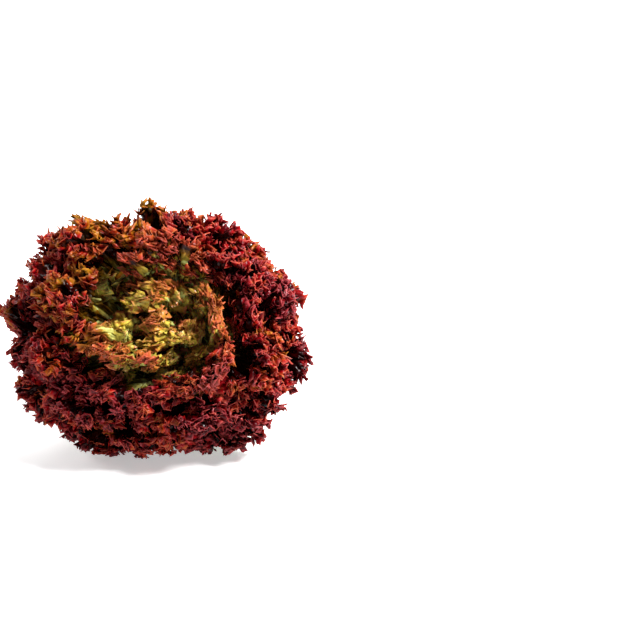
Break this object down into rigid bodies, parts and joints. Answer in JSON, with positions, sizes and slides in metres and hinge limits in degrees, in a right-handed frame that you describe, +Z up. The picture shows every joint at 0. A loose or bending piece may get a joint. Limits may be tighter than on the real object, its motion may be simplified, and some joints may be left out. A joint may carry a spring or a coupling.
{
  "type": "head of lettuce",
  "caption": "Head of red frilled loose-leaf lettuce, cut at the stem and lying on its side with the crown towards the front.",
  "frame": {"origin": "centre of the head's box, on the surface that it lies on", "axes": "+Z up from the surface, -Y the side the crown faces, +X along the head's width"},
  "size_m": [0.2252, 0.1828, 0.1758],
  "materials": {
    "cut_stem": "moist cut stem tissue, cream with a tan rim",
    "outer_leaf": "waxy leaf, green below and dark crimson at the frilled rim",
    "middle_leaf": "waxy leaf, yellow-green below and red-brown at the frilled rim",
    "heart_leaf": "waxy young leaf, yellow-green with orange-red frills"
  },
  "bodies": {
    "root": {"stem": "cut_stem", "outer_leaf_01": "outer_leaf", "outer_leaf_02": "outer_leaf", "outer_leaf_03": "outer_leaf", "outer_leaf_04": "outer_leaf", "outer_leaf_05": "outer_leaf", "outer_leaf_06": "outer_leaf", "outer_leaf_07": "outer_leaf", "outer_leaf_08": "outer_leaf", "outer_leaf_09": "outer_leaf", "outer_leaf_10": "outer_leaf", "outer_leaf_11": "outer_leaf", "middle_leaf_01": "middle_leaf", "middle_leaf_02": "middle_leaf", "middle_leaf_03": "middle_leaf", "middle_leaf_04": "middle_leaf", "middle_leaf_05": "middle_leaf", "middle_leaf_06": "middle_leaf", "middle_leaf_07": "middle_leaf", "middle_leaf_08": "middle_leaf", "middle_leaf_09": "middle_leaf", "middle_leaf_10": "middle_leaf", "middle_leaf_11": "middle_leaf", "heart_leaf_01": "heart_leaf", "heart_leaf_02": "heart_leaf", "heart_leaf_03": "heart_leaf", "heart_leaf_04": "heart_leaf", "heart_leaf_05": "heart_leaf", "heart_leaf_06": "heart_leaf", "heart_leaf_07": "heart_leaf", "heart_leaf_08": "heart_leaf"}
  },
  "joints": []
}
